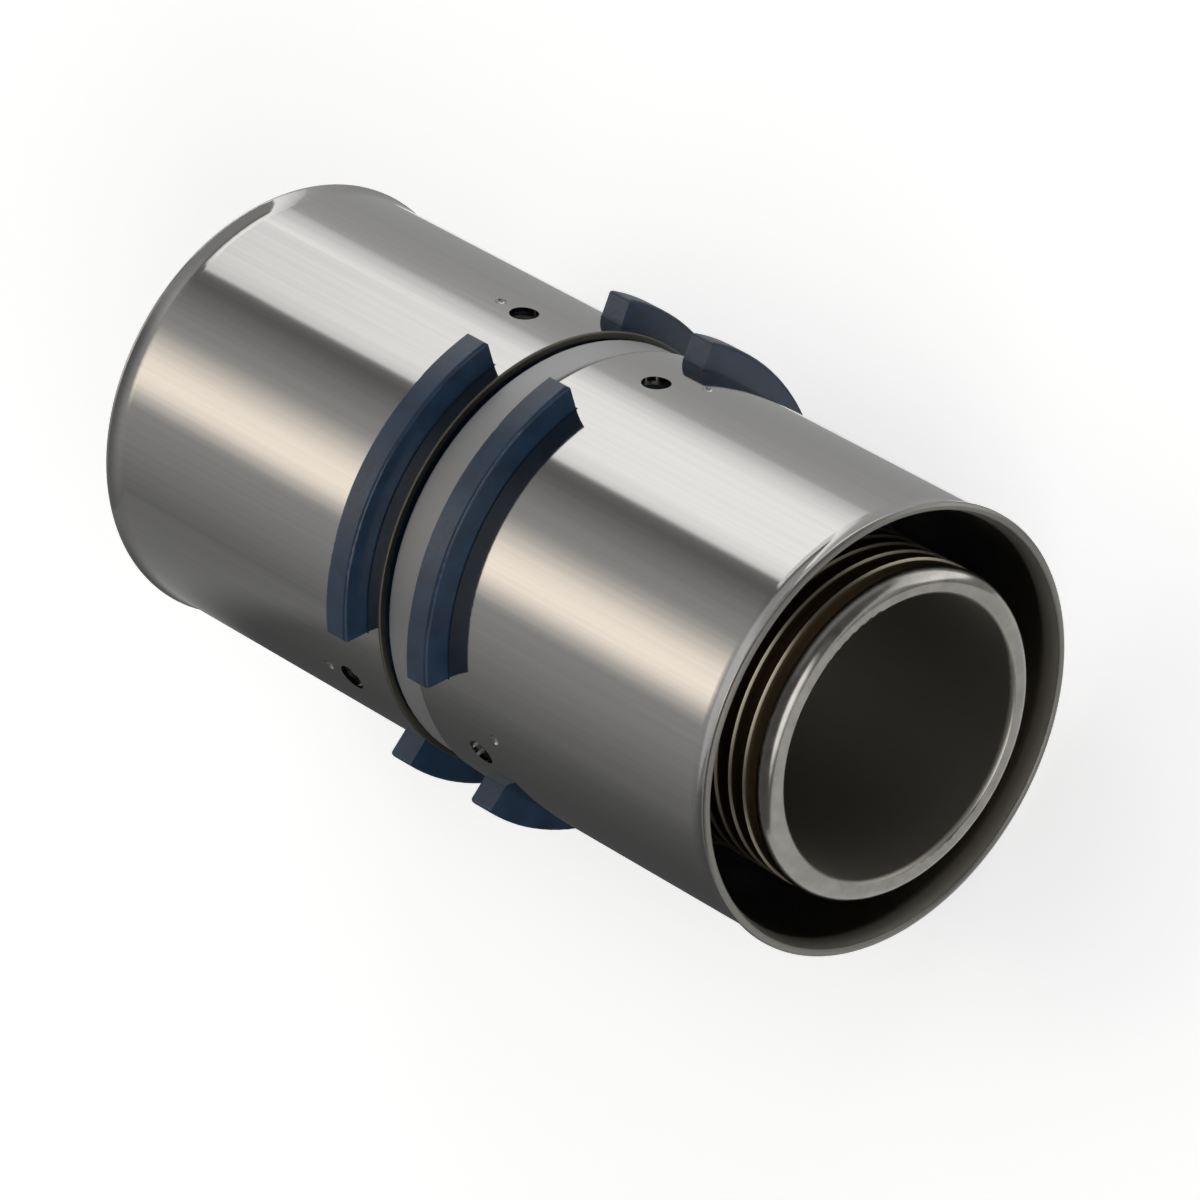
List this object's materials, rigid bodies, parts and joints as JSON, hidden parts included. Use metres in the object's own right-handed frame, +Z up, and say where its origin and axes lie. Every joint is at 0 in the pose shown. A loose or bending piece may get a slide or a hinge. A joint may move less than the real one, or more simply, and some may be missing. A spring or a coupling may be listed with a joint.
{
  "type": "straight pipe press coupling",
  "caption": "Straight press coupling: ribbed tinned brass inserts each side of a centre collar, steel press sleeves and blue stop rings whose lugs stand out through windows.",
  "frame": {"origin": "middle of the bore, on its axis, at the middle of the centre collar", "axes": "+X along the bore towards end a, +Z up as the coupling lies on the lug ends either side of one gap"},
  "size_m": [0.1108, 0.0602, 0.0581],
  "materials": {
    "tinned_brass": "turned brass with a bright tin plating",
    "stainless_steel": "drawn stainless tube, polished with a fine grain",
    "blue_plastic": "moulded polyamide, dark slate blue, satin",
    "black_rubber": "moulded EPDM, black, matt"
  },
  "bodies": {
    "root": {"fitting_body": "tinned_brass", "press_sleeve_a": "stainless_steel", "press_sleeve_b": "stainless_steel", "stop_ring_a": "blue_plastic", "stop_ring_b": "blue_plastic", "seal_a_1": "black_rubber", "seal_a_2": "black_rubber", "seal_b_1": "black_rubber", "seal_b_2": "black_rubber"}
  },
  "joints": []
}
